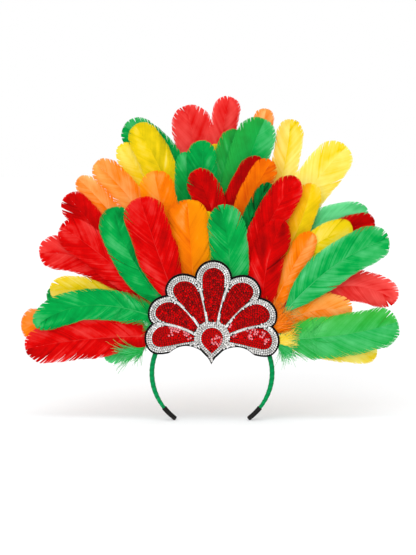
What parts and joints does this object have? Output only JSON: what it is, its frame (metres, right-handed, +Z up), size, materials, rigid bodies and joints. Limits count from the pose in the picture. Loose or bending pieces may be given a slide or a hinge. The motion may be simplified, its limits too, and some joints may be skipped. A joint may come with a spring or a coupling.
{
  "type": "carnival feather headdress",
  "caption": "Headband with an upright fan of dyed feathers and a sequinned palmette badge in front, worn across the top of the head.",
  "frame": {"origin": "inside of the headband's crown, where it sits on top of the head", "axes": "+Z up, along the middle of the feather fan; -Y is the front, where the badge is; +X is to the right seen from the front"},
  "size_m": [0.4271, 0.0816, 0.3649],
  "materials": {
    "ribbon": "green satin ribbon, wound with overlapping edges",
    "end_cap": "black dipped plastic",
    "felt": "black felt",
    "silver_sequins": "silver cup sequins in rows",
    "red_sequins": "red cup sequins in rows",
    "red_feather": "goose feather dyed red",
    "green_feather": "goose feather dyed green",
    "orange_feather": "goose feather dyed orange",
    "yellow_feather": "goose feather dyed yellow"
  },
  "bodies": {
    "root": {"headband": "ribbon", "end_cap_left": "end_cap", "end_cap_right": "end_cap", "felt_core": "felt", "feather_left_green_tuft": "green_feather", "feather_left_red_low": "red_feather", "feather_left_orange_low": "orange_feather", "feather_left_green_low": "green_feather", "feather_left_green_hidden": "green_feather", "feather_left_yellow_low": "yellow_feather", "feather_left_red_outer": "red_feather", "feather_left_red_middle": "red_feather", "feather_left_red_back": "red_feather", "feather_left_orange_outer": "orange_feather", "feather_left_orange_inner": "orange_feather", "feather_left_yellow_back": "yellow_feather", "feather_left_yellow_top": "yellow_feather", "feather_left_green_curl": "green_feather", "feather_left_orange_short": "orange_feather", "feather_left_red_front": "red_feather", "feather_left_green_front": "green_feather", "feather_centre_orange_front": "orange_feather", "feather_centre_yellow": "yellow_feather", "feather_centre_green_front": "green_feather", "feather_centre_red_short": "red_feather", "feather_centre_red_long": "red_feather", "feather_centre_green_back": "green_feather", "feather_centre_green_side": "green_feather", "feather_centre_yellow_back": "yellow_feather", "feather_top_red_left": "red_feather", "feather_top_red_right": "red_feather", "feather_right_green_inner": "green_feather", "feather_right_green_top": "green_feather", "feather_right_orange_top": "orange_feather", "feather_right_yellow_inner": "yellow_feather", "feather_right_yellow_top": "yellow_feather", "feather_right_orange_middle": "orange_feather", "feather_right_green_slim": "green_feather", "feather_right_red_long": "red_feather", "feather_right_red_front": "red_feather", "feather_right_yellow_slim": "yellow_feather", "feather_right_green_back": "green_feather", "feather_right_red_back": "red_feather", "feather_right_yellow_middle": "yellow_feather", "feather_right_orange_front": "orange_feather", "feather_right_green_front": "green_feather", "feather_right_red_middle": "red_feather", "feather_right_orange_low": "orange_feather", "feather_right_green_low": "green_feather", "feather_right_yellow_low": "yellow_feather", "badge_felt": "felt", "silver_border": "silver_sequins", "petal_left_low": "red_sequins", "petal_left_middle": "red_sequins", "petal_left_upper": "red_sequins", "petal_top": "red_sequins", "petal_right_upper": "red_sequins", "petal_right_middle": "red_sequins", "petal_right_low": "red_sequins", "centre_drop": "red_sequins"}
  },
  "joints": []
}
